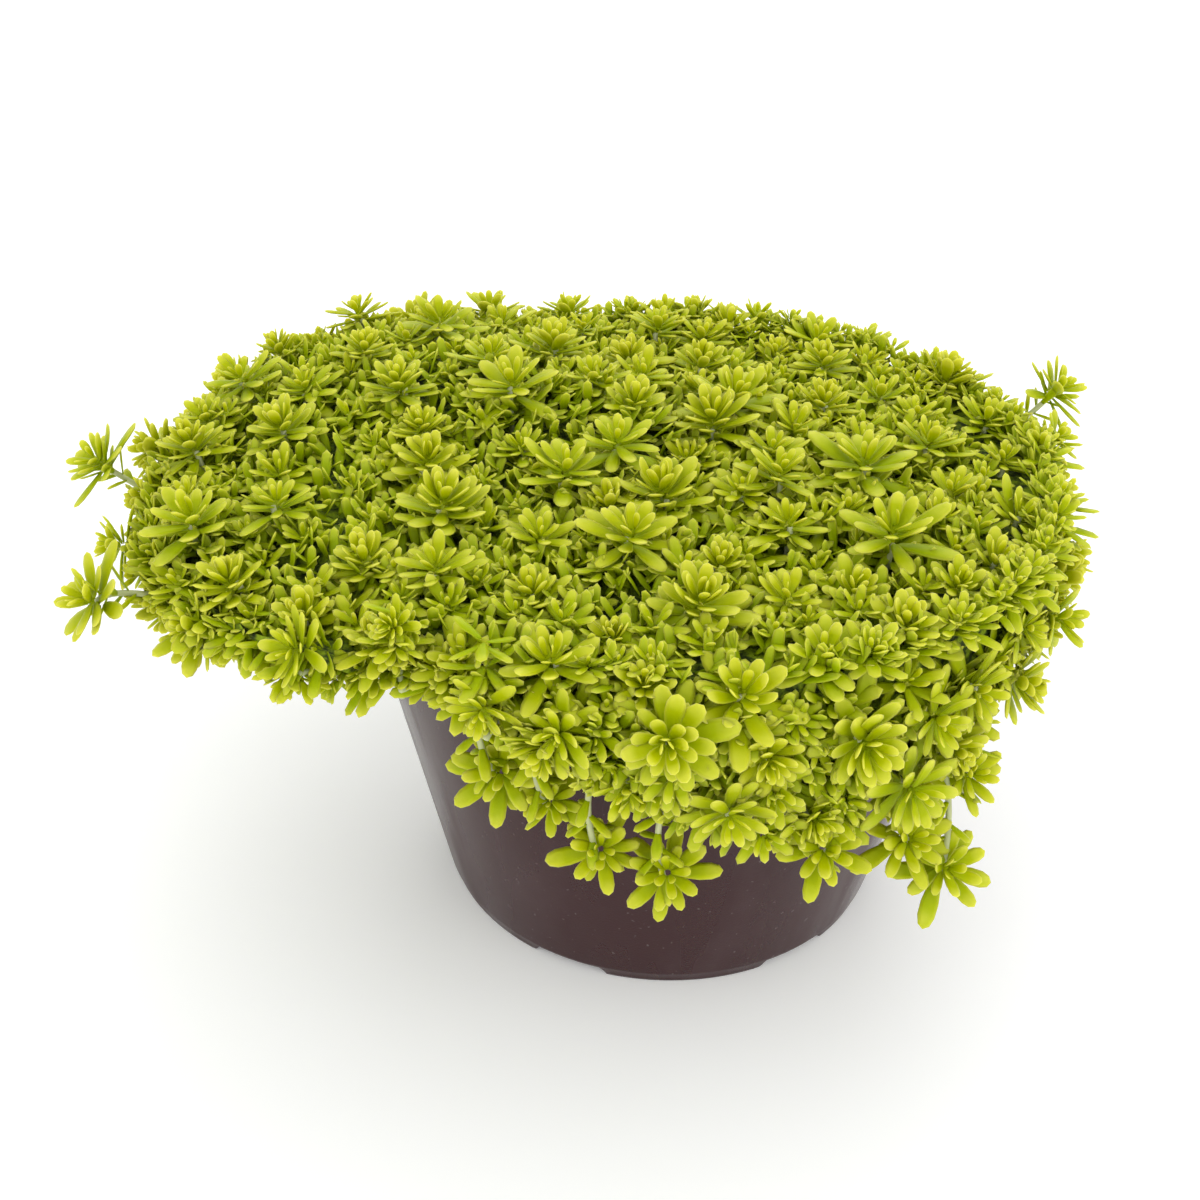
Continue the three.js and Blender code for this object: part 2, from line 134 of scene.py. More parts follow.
world_light()


# Floor: one wide sheet of plain matt white paper, laid flat under the pot. It is the stage and not
# part of the object.
def paper():
    """White paper: matt, very slightly uneven in tone."""
    material, tree = new_material("white_paper")
    place = add(tree, "ShaderNodeTexCoord", {}).outputs["Object"]
    cloud = add(tree, "ShaderNodeTexNoise", {"Vector": place, "Scale": 3.0})
    tone = mix(tree, cloud.outputs[0], tint("#fbfbfb"), tint("#ffffff"))
    finish_material(tree, add(tree, "ShaderNodeBsdfPrincipled", {
        "Base Color": tone, "Roughness": 0.9, "Emission Color": tone, "Emission Strength": 0.1,
    }))
    return material


def mesh_object(name, points, faces, material):
    """A smooth-shaded mesh object at the origin: points (N, 3) in metres and a list of (M, k) faces."""
    mesh = bpy.data.meshes.new(name)
    mesh.vertices.add(len(points))
    mesh.vertices.foreach_set("co", np.ravel(points).astype(np.float32))
    sizes = np.concatenate([np.full(len(part), part.shape[1]) for part in faces])
    mesh.loops.add(int(sizes.sum()))
    mesh.loops.foreach_set("vertex_index", np.concatenate([part.ravel() for part in faces]))
    mesh.polygons.add(len(sizes))
    mesh.polygons.foreach_set("loop_start", np.concatenate([[0], np.cumsum(sizes)[:-1]]))
    mesh.polygons.foreach_set("use_smooth", np.full(len(sizes), True))
    mesh.update(calc_edges=True)
    mesh.materials.append(material)
    made = bpy.data.objects.new(name, mesh)
    scene.collection.objects.link(made)
    return made


FLOOR_HALF = 6.0
corners = np.array([(-1, -1, 0), (1, -1, 0), (1, 1, 0), (-1, 1, 0)]) * FLOOR_HALF
floor = mesh_object("floor", corners, [np.array([[0, 1, 2, 3]])], paper())


# Pot: a nursery bowl injection-moulded in thin polypropylene, with a turned-out lip, a raised floor
# with drain holes and a foot ring cut into six feet, so that water runs off below it.
MM = 0.001
RIM_RADIUS = 95
POT_HEIGHT = 126
BASE_RADIUS = 64.6
LIP_HEIGHT = 8
LIP_WIDTH = 2.2
WALL = 1.4
FLOOR_UNDERSIDE = 3
FLOOR_THICKNESS = 1.6
PAD_RADIUS = 14
FOOT_COUNT = 6
FOOT_TURN = 3.6
NOTCH_HALF_WIDTH = 11.5
NOTCH_HEIGHT = 2.6
NOTCH_SLOPE = 1.29
DRAIN_RADIUS = 4.5
DRAIN_CIRCLE = 50
DRILL_SIDES = 24
POT_SIDES = 288
POT_HEX = "#351518"
POT_DUST_HEX = "#4b3739"


def pole_solid(rings, first, last):
    """Closed skins: rings (N, S, R, 3), each joined to the next, and both ends drawn to a point.
    A ring runs anticlockwise about the way from first to last, so that all faces point outwards."""
    count, steps, around = rings.shape[:3]
    points = np.concatenate([first[:, None], rings.reshape(count, -1, 3), last[:, None]], axis=1)
    here = np.arange(around)
    after = (here + 1) % around
    starts = 1 + around * np.arange(steps)
    quads = np.concatenate([
        np.stack([a + here, a + after, a + around + after, a + around + here], axis=1)
        for a in starts[:-1]
    ])
    end = starts[-1]
    fans = np.concatenate([
        np.stack([0 * here, 1 + after, 1 + here], axis=1),
        np.stack([0 * here + end + around, end + here, end + after], axis=1),
    ])
    step = points.shape[1] * np.arange(count)[:, None, None]
    return points.reshape(-1, 3), [(fans + step).reshape(-1, 3), (quads + step).reshape(-1, 4)]


def wall_radius(z):
    """Outer radius of the pot's wall: straight from the base to inside the lip."""
    return BASE_RADIUS + (RIM_RADIUS - LIP_WIDTH - BASE_RADIUS) * z / POT_HEIGHT


def pot_profile():
    """The pot's section, (r, z) in mm, from the middle of its underside out, up, over and back in."""
    lip_foot = POT_HEIGHT - LIP_HEIGHT
    floor_top = FLOOR_UNDERSIDE + FLOOR_THICKNESS
    turn = np.radians(np.linspace(0, 180, 9))
    lip_centre = (RIM_RADIUS + wall_radius(POT_HEIGHT) - WALL) / 2
    lip_half = RIM_RADIUS - lip_centre
    lip_top = [(lip_centre + lip_half * np.cos(a), POT_HEIGHT - 1.2 + 1.2 * np.sin(a)) for a in turn]
    inside = [(wall_radius(z) - WALL, z) for z in np.linspace(lip_foot, floor_top + 4, 8)]
    outside = [(wall_radius(z), z) for z in np.linspace(4.2, lip_foot - 0.6, 26)]
    return np.array([
        (6, 0), (PAD_RADIUS - 0.7, 0), (PAD_RADIUS, 0.6), (PAD_RADIUS + 0.2, FLOOR_UNDERSIDE - 0.3),
        (PAD_RADIUS + 0.8, FLOOR_UNDERSIDE), (38, FLOOR_UNDERSIDE), (BASE_RADIUS - 3.2, FLOOR_UNDERSIDE),
        (BASE_RADIUS - 2.6, FLOOR_UNDERSIDE - 0.4), (BASE_RADIUS - 2.2, 0.3), (BASE_RADIUS - 1.9, 0),
        (BASE_RADIUS - 0.9, 0), (BASE_RADIUS - 0.4, 0.3), (BASE_RADIUS - 0.15, 1.0),
        (wall_radius(2.8) - 0.25, 2.9), (wall_radius(3.4), 3.5),
        *outside,
        (wall_radius(lip_foot) + 0.5, lip_foot), (RIM_RADIUS - 0.9, lip_foot + 0.25),
        (RIM_RADIUS - 0.15, lip_foot + 0.9), (RIM_RADIUS, lip_foot + 1.8), *lip_top, *inside,
        (wall_radius(floor_top) - WALL - 1.0, floor_top + 1), (wall_radius(floor_top) - WALL - 3, floor_top),
        (30, floor_top),
    ])


def pot_skin():
    """The section turned about the axis; below each notch the foot ring's edge rises to its top:
    a sloped cut as high as the slope times the distance in from its edge, up to the notch's height."""
    turn = 2 * np.pi * np.arange(POT_SIDES) / POT_SIDES
    r, z = pot_profile().T[:, :, None]
    pitch = 2 * np.pi / FOOT_COUNT
    from_notch = (turn - np.radians(FOOT_TURN - 90)) % pitch - pitch / 2
    rise = np.clip(NOTCH_SLOPE * (NOTCH_HALF_WIDTH - BASE_RADIUS * np.abs(from_notch)), 0, NOTCH_HEIGHT)
    z = np.where(r > BASE_RADIUS - 4, np.maximum(z, rise), z + 0 * rise)
    rings = np.stack([r * np.cos(turn), r * np.sin(turn), z], axis=-1)
    ends = np.array([[[0, 0, 0]], [[0, 0, FLOOR_UNDERSIDE + FLOOR_THICKNESS]]])
    return pole_solid(rings[None] * MM, *(ends * MM))


def drill(piece, centres, radius, low, high):
    """Round holes through a piece: upright 24-sided cutters, taken out of it by one boolean."""
    side = 2 * np.pi * np.arange(DRILL_SIDES) / DRILL_SIDES
    ring = np.stack([np.cos(side), np.sin(side), 0 * side], axis=-1) * radius
    levels = np.array([(0, 0, low), (0, 0, high)])
    rings = centres[:, None, None] + levels[:, None] + ring
    cutter = mesh_object("cutter", *pole_solid(rings, centres + levels[0], centres + levels[1]), None)
    modifier = piece.modifiers.new("drill", "BOOLEAN")
    modifier.object = cutter
    modifier.solver = "EXACT"
    drilled = bpy.data.meshes.new_from_object(piece.evaluated_get(bpy.context.evaluated_depsgraph_get()))
    piece.modifiers.clear()
    piece.data = drilled
    bpy.data.objects.remove(cutter)


def moulded_polypropylene():
    """Dark red-brown polypropylene, injection-moulded: satin, with faint upright flow marks from the
    mould, a fine eroded grain, a trace of pale water marks and a few specks of grit."""
    material, tree = new_material("moulded_polypropylene")
    place = add(tree, "ShaderNodeTexCoord", {}).outputs["Object"]
    upright = add(tree, "ShaderNodeMapping", {"Vector": place, "Scale": (1, 1, 0.06)})
    flow = add(tree, "ShaderNodeTexNoise", {"Vector": upright.outputs[0], "Scale": 70.0, "Detail": 3.0})
    cloud = add(tree, "ShaderNodeTexNoise", {"Vector": place, "Scale": 28.0, "Detail": 6.0})
    grain = add(tree, "ShaderNodeTexNoise", {"Vector": place, "Scale": 1800.0})
    marks = add(tree, "ShaderNodeMath", {0: flow.outputs[0], 1: cloud.outputs[0]}, operation="MULTIPLY")
    dust = stretch(tree, marks.outputs[0], 0.24, 0.42, 0.0, 0.5)
    tone = mix(tree, dust, tint(POT_HEX), tint(POT_DUST_HEX))
    grit = add(tree, "ShaderNodeTexNoise", {"Vector": place, "Scale": 620.0, "Detail": 1.0})
    specks = stretch(tree, grit.outputs[0], 0.72, 0.77, 0.0, 0.25)
    speckled = mix(tree, specks, tone, tint("#8f8785"))
    gloss = stretch(tree, flow.outputs[0], 0.35, 0.65, 0.2, 0.4)
    relief = add(tree, "ShaderNodeMath", {0: grain.outputs[0], 1: flow.outputs[0]}, operation="ADD")
    bump = add(tree, "ShaderNodeBump", {"Height": relief.outputs[0], "Strength": 0.12, "Distance": 0.0003})
    finish_material(tree, add(tree, "ShaderNodeBsdfPrincipled", {
        "Base Color": speckled, "Roughness": gloss, "Normal": bump.outputs[0], "IOR": 1.49,
        "Specular IOR Level": 0.26,
    }))
    return material


pot = mesh_object("nursery_pot", *pot_skin(), moulded_polypropylene())
hole_turn = np.radians(FOOT_TURN - 90 + 360 / FOOT_COUNT * (np.arange(FOOT_COUNT) + 0.5))
hole_centres = DRAIN_CIRCLE * MM * np.stack([np.cos(hole_turn), np.sin(hole_turn), 0 * hole_turn], axis=-1)
drill(pot, hole_centres, DRAIN_RADIUS * MM, 1 * MM, 8 * MM)
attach(pot, "root")
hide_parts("pot")


# Compost: peat and fine bark that fills the pot to below its rim, pressed down by hand, with loose
# crumbs on top. It only shows where the shoots part.
SOIL_TOP = 113
SOIL_WAVE = 1.3
WALL_GAP = 0.6
FLOOR_GAP = 0.3
SOIL_SIDES = 160
CRUMBS = 900
chances = np.random.default_rng(7)


def soil_skin():
    """A body turned from the pot's inside, 0.6 mm clear of its wall and 0.3 mm of its floor. Its top
    waves by the sine of three times the azimuth times the cosine of the radius, each shifted and scaled,
    and is pitted at random by up to 0.7 mm."""
    low = FLOOR_UNDERSIDE + FLOOR_THICKNESS + FLOOR_GAP
    radius = wall_radius(SOIL_TOP) - WALL - WALL_GAP
    side = [(wall_radius(z) - WALL - WALL_GAP, z) for z in np.linspace(low + 3, SOIL_TOP - 2, 10)]
    top = [(r, SOIL_TOP) for r in np.linspace(radius - 1, 3, 36)]
    profile = np.array([(20, low), (wall_radius(low) - WALL - 4, low), *side, *top])
    turn = 2 * np.pi * np.arange(SOIL_SIDES) / SOIL_SIDES
    r, z = profile.T[:, :, None]
    pits = chances.uniform(-0.7, 0.5, (len(profile), SOIL_SIDES))
    wave = SOIL_WAVE * np.sin(3 * turn + r / 17) * np.cos(r / 11) + pits
    z = np.where(z > SOIL_TOP - 1, z + wave, z + 0 * wave)
    rings = np.stack([r * np.cos(turn), r * np.sin(turn), z], axis=-1)
    ends = np.array([[[0, 0, low]], [[0, 0, SOIL_TOP]]])
    return pole_solid(rings[None] * MM, *(ends * MM))


def crumb_skins():
    """Crumbs: small lumps, each a sphere of four rings of six points and two ends, stretched and
    dented at random."""
    reach = (wall_radius(SOIL_TOP) - WALL - 4) * np.sqrt(chances.uniform(0, 1, CRUMBS))
    turn = chances.uniform(0, 2 * np.pi, CRUMBS)
    centre = np.stack([reach * np.cos(turn), reach * np.sin(turn), np.full(CRUMBS, SOIL_TOP + 0.9)], axis=-1)
    size = chances.uniform(0.5, 1.6, (CRUMBS, 3)) * (1, 1, 0.7)
    tilt = np.radians(np.linspace(30, 150, 4))
    side = 2 * np.pi * np.arange(6) / 6
    sphere = np.stack([
        np.sin(tilt)[:, None] * np.cos(side), -np.sin(tilt)[:, None] * np.sin(side),
        np.cos(tilt)[:, None] + 0 * side,
    ], axis=-1)
    dents = chances.uniform(0.75, 1.2, (CRUMBS, 4, 6, 1))
    rings = centre[:, None, None] + size[:, None, None] * sphere * dents
    up = size * (0, 0, 1)
    return pole_solid(rings * MM, (centre + up) * MM, (centre - up) * MM)


def peat_and_bark():
    """Moist peat and composted bark: almost black brown, fibrous and matt, with paler chips."""
    material, tree = new_material("peat_and_bark")
    place = add(tree, "ShaderNodeTexCoord", {}).outputs["Object"]
    chips = add(tree, "ShaderNodeTexVoronoi", {"Vector": place, "Scale": 420.0})
    fibre = add(tree, "ShaderNodeTexNoise", {"Vector": place, "Scale": 900.0, "Detail": 4.0})
    pick = add(tree, "ShaderNodeMath", {0: chips.outputs[1], 1: fibre.outputs[0]}, operation="MULTIPLY")
    tone = mix(tree, pick.outputs[0], tint("#1d1512"), tint("#5b4433"))
    bump = add(tree, "ShaderNodeBump", {"Height": fibre.outputs[0], "Strength": 0.6, "Distance": 0.0006})
    finish_material(tree, add(tree, "ShaderNodeBsdfPrincipled", {
        "Base Color": tone, "Roughness": 0.92, "Normal": bump.outputs[0],
    }))
    return material


peat = peat_and_bark()
for name, skin in {"compost": soil_skin(), "compost_crumbs": crumb_skins()}.items():
    piece = mesh_object(name, *skin, peat)
    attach(piece, "root")
    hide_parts("soil")


# Cushion: where the shoots end. The outline goes by azimuth, and rows of shoot tips run round it from
# the crown to the hem. The rule and its draws are those that place the shoots of the solids.
SECTORS = 8
ROWS = 7
CROWN_ROWS = 2
SPACING = 22.3
BRIM_AT = 0.8
CORE_DEPTH = 8
CROWN_EXTRA = 4
CURTAIN_RADIUS = 96.3
LARGE_ROSETTE = 14.6
SMALL_ROSETTE = 12.2
TIP_LEAN = 0.4
HANG_AT = 0.62
CROWN_RADIUS = 62
SEAM_MARGIN = 5.5
PLACES = ["right", "back_right", "back", "back_left", "left", "front_left", "front", "front_right"]
LOOSE_SHOOTS = [
    ("left", (-157, 4, 128), 12), ("left", (-149, -50, 118), 12.5),
    ("right", (112, 39, 133), 11.5), ("right", (107, 17, 129), 10.5),
    ("front_right", (68, -81, 82), 12), ("front_right", (64, -88, 58), 12),
    ("front_right", (53, -90, 69), 11.5),
    ("front", (31, -99, 74), 13), ("front", (-6, -101, 68), 12.5),
    ("front", (-22, -97, 72), 10), ("front", (-34, -93, 84), 9.5),
    ("front_left", (-46, -88, 89), 13),
]


def bump(t, centre, width):
    """A smooth swelling by azimuth: e to the minus square of the angle off centre over its width."""
    turn = t - np.radians(centre)
    return np.exp(-(np.arctan2(np.sin(turn), np.cos(turn)) / np.radians(width)) ** 2)


def reach(t):
    """How far the cushion reaches from the pot's axis, in mm."""
    round_part = 119 - 23 * np.cos(t) + 7 * np.cos(2 * t) - 4 * np.sin(t)
    swellings = 6 * bump(t, 30, 16) + 5 * bump(t, 142, 20)
    return round_part + swellings - 17 * bump(t, -127, 25) - 4 * bump(t, -3, 16)


def envelope(t, s):
    """Radius and height of the outline at azimuth t; s goes from 0 at the crown over the brim at 0.8,
    a flattened arc, to 1 at the hem, which tucks in towards the pot."""
    far = reach(t)
    crown = 139 + 8 * bump(t, 145, 35)
    brim = 114 + 7 * bump(t, 142, 45) + 4 * bump(t, 45, 25) + 5 * bump(t, 0, 28)
    hem_rise = 8 * bump(t, -135, 36) + 4 * bump(t, -124, 16) + 10 * bump(t, -18, 26)
    hem = 104 + hem_rise - 24 * bump(t, -74, 30)
    x = np.minimum(s / BRIM_AT, 1)
    a = (0.7 * x + 0.3 * x ** 3) * np.pi / 2
    v = np.maximum((s - BRIM_AT) / (1 - BRIM_AT), 0)
    tuck = np.clip(far - 107, 0, 14)
    radius = far * np.sin(a) - tuck * v ** 1.6
    height = brim + (crown - brim) * np.maximum(np.cos(a), 0) ** 0.6 + (hem - brim) * v
    return radius, height


def outward(t, s):
    """Radial and upright part of the outline's outward direction, from points just above and below."""
    r0, z0 = envelope(t, np.maximum(s - 0.01, 0))
    r1, z1 = envelope(t, np.minimum(s + 0.01, 1))
    length = np.hypot(r1 - r0, z1 - z0)
    return (z0 - z1) / length, (r1 - r0) / length


def packed_depth(s):
    """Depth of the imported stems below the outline: 8 mm, and up to 4 mm more from 0.62 to the crown."""
    return CORE_DEPTH + CROWN_EXTRA * np.maximum(0, 1 - s / HANG_AT)


def polar(r, t, z):
    """Points from radius, azimuth and height."""
    return np.stack(np.broadcast_arrays(r * np.cos(t), r * np.sin(t), z), axis=-1)


def unit(vectors):
    """Vectors brought to length one."""
    return vectors / np.linalg.norm(vectors, axis=-1, keepdims=True)


def seeded(state=90210):
    """Numbers from 0 to 1, each from the one before: state times 1664525 plus 1013904223, mod 2^32."""
    while True:
        state = (1664525 * state + 1013904223) % 2 ** 32
        yield state / 2 ** 32


draws = seeded()
shoots = []


def add_shoot(place, tip, normal, scale, t, along):
    """One shoot tip: it leans off the outline's normal by two draws, a little upwards, and turns by one."""
    lean = (TIP_LEAN * (next(draws) - 0.5), TIP_LEAN * (next(draws) - 0.5), 0.08 + 0.14 * max(normal[2], 0))
    shoots.append((place, tip, unit(normal + np.array(lean)), scale, t, along, 2 * np.pi * next(draws)))


def add_rows(place, rows, start, width):
    """Shoot tips in rows: each row of a sector holds as many as its arc has room for, nudged at random."""
    for row in rows:
        s = (row + 0.5) / ROWS
        count = max(1, int(envelope(start + width / 2, s)[0] * width / SPACING + 0.5))
        for i in range(count):
            shift = (0.14 if row % 2 else -0.14) + 0.4 * (next(draws) - 0.5)
            middle = start + width * (i + 0.5 + shift) / count
            margin = SEAM_MARGIN / envelope(middle, s)[0]
            t = np.clip(middle, start + margin, start + width - margin)
            along = min(0.985, s + 0.06 * (next(draws) - 0.5))
            r, z = envelope(t, along)
            nr, nz = outward(t, along)
            large = (row + i) % 2 == 0
            lift = (-0.5 if large else -3.5) + 3 * (next(draws) - 0.5)
            scale = (LARGE_ROSETTE if large else SMALL_ROSETTE) * (0.9 + 0.2 * next(draws))
            far = max(r + nr * lift, CURTAIN_RADIUS + 5.5 if along > BRIM_AT - 0.06 else 0)
            high = z + nz * lift
            if far < CURTAIN_RADIUS + 3:
                high = max(high, POT_HEIGHT + 4.5)
            add_shoot(place, polar(far, t, high), polar(nr, t, nz), scale, t, along)


def sector_start(k):
    """Azimuth at which the kth sector begins."""
    return (k - 0.5) * 2 * np.pi / SECTORS


add_rows("crown", range(CROWN_ROWS), 0, 2 * np.pi)
for k, place in enumerate(PLACES):
    add_rows(place, range(CROWN_ROWS, ROWS), sector_start(k), 2 * np.pi / SECTORS)
for place, tip, scale in LOOSE_SHOOTS:
    t = np.arctan2(tip[1], tip[0])
    low = tip[2] < envelope(t, BRIM_AT)[1] - 14
    normal = unit(np.array([tip[0], tip[1], 30.0]))
    add_shoot(place, np.array(tip, float), normal, scale, t, 0.93 if low else 0.8)

owner, tips, axes, scales, azimuths, rows_at, spins = [np.array(column) for column in zip(*shoots)]
loose = np.arange(len(shoots)) >= len(shoots) - len(LOOSE_SHOOTS)


# Leaves: fleshy and spoon-shaped, the outer ones 8 to 15 mm long and 3 to 5 mm wide, set round each
# shoot in a spiral of 137.5 degrees. The youngest stand up in the middle, the oldest lie flat or bend
# down. A rosette is either a dense dome or an open star.
GOLDEN_TURN = np.radians(137.5)
LEAF_STATIONS = np.array([0.07, 0.3, 0.55, 0.78, 0.93])
PLAIN_STATIONS = np.array([0.12, 0.55, 0.88])
LEAF_SIDES = 6
grown = np.random.default_rng(21)


def leaf_width(u):
    """Half-width along the leaf as a share of its widest: from 0.42 it swells by a sine up to 0.66 of the
    way, and from 0.6 on it closes in a round tip."""
    swell = 0.42 + 0.58 * np.sin(np.minimum(u / 0.66, 1) * np.pi / 2) ** 1.4
    return swell * np.sqrt(1 - np.clip((u - 0.6) / 0.4, 0, 1) ** 2.8)


def leaf_skins(base, out, up, length, half, curl, stations):
    """Leaf blades: rings about a centre line that bends by curl times the square of the way along it.
    A ring is an ellipse, three quarters as high above as below, less a channel along its top."""
    side = np.cross(up, out)
    u = stations[None, :, None]
    turn = 2 * np.pi * np.arange(LEAF_SIDES) / LEAF_SIDES
    width = half[:, None, None] * leaf_width(u)
    thick = 0.3 * half[:, None, None] * leaf_width(u) ** 0.7
    across = width * np.cos(turn)
    channel = 0.25 * thick * np.maximum(np.sin(turn), 0) ** 3
    rise = thick * np.where(np.sin(turn) > 0, 0.75, 1) * np.sin(turn) - channel
    far = length[:, None, None] * u + 0 * turn
    lift = curl[:, None, None] * length[:, None, None] * u ** 2 + rise

    def place(x, y, z):
        """Points from distances along, across and above each leaf."""
        return base[:, None, None] + sum(
            value[..., None] * axis[:, None, None] for value, axis in ((x, out), (y, side), (z, up))
        )

    end = base + length[:, None] * (out + curl[:, None] * up)
    return pole_solid(place(far, across, lift) * MM, base * MM, end * MM)


def rosette_leaves(at, axis, spin, scale, count, dense):
    """Frames of all the leaves of many rosettes. The share f runs from 0 at the middle to 1 outside:
    the leaf's lean from the axis, its length and its place down the stem all grow with f. A dense
    rosette is a low dome of broad leaves, a star has a small heart in narrower, flat leaves."""
    f = np.arange(count) / (count - 1)
    first = unit(np.cross(axis, np.where(np.abs(axis[:, 2:]) < 0.9, (0.0, 0, 1), (1.0, 0, 0))))
    second = np.cross(axis, first)
    jitter = grown.normal(0, 1, (4, len(at), count))
    turn = spin[:, None] + GOLDEN_TURN * np.arange(count) + 0.1 * jitter[0]
    lean_by = 12 + 80 * f ** 0.68 if dense else 16 + 70 * f ** 0.5
    lean = np.radians(lean_by + 9 * jitter[1])
    radial = np.cos(turn)[..., None] * first[:, None] + np.sin(turn)[..., None] * second[:, None]
    stem = axis[:, None] + 0 * radial
    out = stem * np.cos(lean)[..., None] + radial * np.sin(lean)[..., None]
    up = stem * np.sin(lean)[..., None] - radial * np.cos(lean)[..., None]
    share = 0.32 + 0.56 * f ** 0.8 if dense else 0.28 + 0.64 * f ** 0.7
    length = scale[:, None] * share * (1 + 0.1 * jitter[2])
    height = scale[:, None] * (0.26 - (0.5 if dense else 0.36) * f)
    base = at[:, None] + stem * height[..., None] + radial * (0.05 * scale)[:, None, None]
    half = length * (0.225 - 0.045 * f if dense else 0.205 - 0.04 * f)
    curl = 0.12 - 0.22 * f + 0.07 * jitter[3]
    tone = grown.normal(0, 1, (len(at), 1)) + 0.4 * grown.normal(0, 1, (len(at), count))
    frames = (base, out, up, length, half, curl, f + 0 * length, tone)
    return [part.reshape(-1, *part.shape[2:]) for part in frames]


def leaves_object(name, groups, material):
    """One mesh of many leaves. Each group is (frames, stations, depth); the attribute leaf_marks holds the
    way along the leaf, its age and its depth in the cushion, which the leaf material paints as shade,
    leaf_tone its own tone, and leaf_edge how near a point is to the leaf's margin."""
    points, fans, quads, marks, tones, edges = [], [], [], [], [], []
    total = 0
    for (base, out, up, length, half, curl, age, tone), stations, depth in groups:
        skin, (fan, quad) = leaf_skins(base, out, up, length, half, curl, stations)
        along = np.concatenate([[0], np.repeat(stations, LEAF_SIDES), [1]])
        count = len(base)
        marks.append(np.stack([
            np.tile(along, count), np.repeat(age, len(along)), np.full(count * len(along), depth),
        ], axis=-1))
        tones.append(np.repeat(tone, len(along)))
        ring = np.abs(np.cos(2 * np.pi * np.arange(LEAF_SIDES) / LEAF_SIDES))
        edges.append(np.tile(np.concatenate([[0], np.tile(ring, len(stations)), [1]]), count))
        points.append(skin)
        fans.append(fan + total)
        quads.append(quad + total)
        total += len(skin)
    made = mesh_object(name, np.concatenate(points), [np.concatenate(fans), np.concatenate(quads)], material)
    vector = made.data.attributes.new("leaf_marks", "FLOAT_VECTOR", "POINT")
    vector.data.foreach_set("vector", np.concatenate(marks).ravel().astype(np.float32))
    for label, values in {"leaf_tone": tones, "leaf_edge": edges}.items():
        number = made.data.attributes.new(label, "FLOAT", "POINT")
        number.data.foreach_set("value", np.concatenate(values).astype(np.float32))
    return made


def picked(chosen, *columns):
    """The chosen rows of several arrays."""
    return [column[chosen] for column in columns]


def succulent_leaf():
    """Living succulent leaf: waxy satin skin over translucent flesh. Chartreuse, greener where old and at
    the foot, darker and greener deeper in the cushion as painted shade, with butter-pale tips and margins
    and a soft mottling of the skin's cells."""
    material, tree = new_material("succulent_leaf")
    place = add(tree, "ShaderNodeTexCoord", {}).outputs["Object"]
    marks = add(tree, "ShaderNodeAttribute", {}, attribute_name="leaf_marks")
    tone = add(tree, "ShaderNodeAttribute", {}, attribute_name="leaf_tone")
    parts = add(tree, "ShaderNodeSeparateXYZ", {0: marks.outputs["Vector"]})
    along, age, depth = parts.outputs
    mottle = add(tree, "ShaderNodeTexNoise", {"Vector": place, "Scale": 320.0, "Detail": 3.0})
    old = stretch(tree, age, 0.1, 1.0, 0.0, 1.0)
    fresh = mix(tree, old, tint("#b7bf00"), tint("#a3b300"))
    shift = stretch(tree, tone.outputs["Fac"], -1.8, 1.8, 0.0, 0.55)
    varied = mix(tree, shift, fresh, tint("#bebf02"))
    # Painted shade: the deeper a leaf lies in the cushion, the more its colour goes to a darker green.
    shade = stretch(tree, depth, 0.0, 1.0, 0.0, 0.8)
    deep = mix(tree, shade, varied, tint("#96ad00"))
    foot = stretch(tree, along, 0.0, 0.8, 1.2, 0.0)
    veins = add(
        tree, "ShaderNodeMath", {0: foot, 1: mottle.outputs[0]}, operation="MULTIPLY", use_clamp=True,
    )
    grading = mix(tree, veins.outputs[0], deep, tint("#7d9800"))
    tip = stretch(tree, along, 0.62, 1.0, 0.0, 0.9)
    edge = add(tree, "ShaderNodeAttribute", {}, attribute_name="leaf_edge")
    margin = stretch(tree, edge.outputs["Fac"], 0.7, 1.0, 0.0, 0.8)
    rim = add(tree, "ShaderNodeMath", {0: margin, 1: along}, operation="MULTIPLY")
    light = add(tree, "ShaderNodeMath", {0: tip, 1: rim.outputs[0]}, operation="ADD")
    young = stretch(tree, age, 0.0, 1.0, 1.0, 0.55)
    pale = add(tree, "ShaderNodeMath", {0: light.outputs[0], 1: young}, operation="MULTIPLY", use_clamp=True)
    patch = add(tree, "ShaderNodeMath", {0: pale.outputs[0], 1: mottle.outputs[0]}, operation="MULTIPLY")
    twice = add(tree, "ShaderNodeMath", {0: patch.outputs[0], 1: 1.6}, operation="MULTIPLY", use_clamp=True)
    colour = mix(tree, twice.outputs[0], grading, tint("#e0dc62"))
    cells = add(tree, "ShaderNodeTexVoronoi", {"Vector": place, "Scale": 1600.0})
    relief = add(tree, "ShaderNodeBump", {"Height": cells.outputs[0], "Strength": 0.12, "Distance": 0.0002})
    finish_material(tree, add(tree, "ShaderNodeBsdfPrincipled", {
        "Base Color": colour, "Roughness": 0.45, "Normal": relief.outputs[0], "IOR": 1.42,
        "Specular IOR Level": 0.12, "Subsurface Weight": 0.5, "Subsurface Radius": (1.0, 0.9, 0.15),
        "Subsurface Scale": 0.0025,
    }))
    return material


def nearest_owner(t, r):
    """Name of the clump that a place belongs to: the crown within 62 mm, else the sector by azimuth."""
    sector = np.round(t / (2 * np.pi / SECTORS)).astype(int) % SECTORS
    return np.where(r < CROWN_RADIUS, "crown", np.array(PLACES)[sector])


# Round each shoot tip stand three lesser side shoots, half a step on, half a row down or both, some
# 6 mm below the outline, so that they fill the room between the tips. Over the pot's rim they stand
# clear of it, and at the front left the rim shows below them.
RIM_SHOWS = (-126, 15)
RIM_INNER = 80
SIDE_SUNK = 6.2
SIDE_ROSETTE = 10.8
SIDE_CLEARS_RIM = 4.5


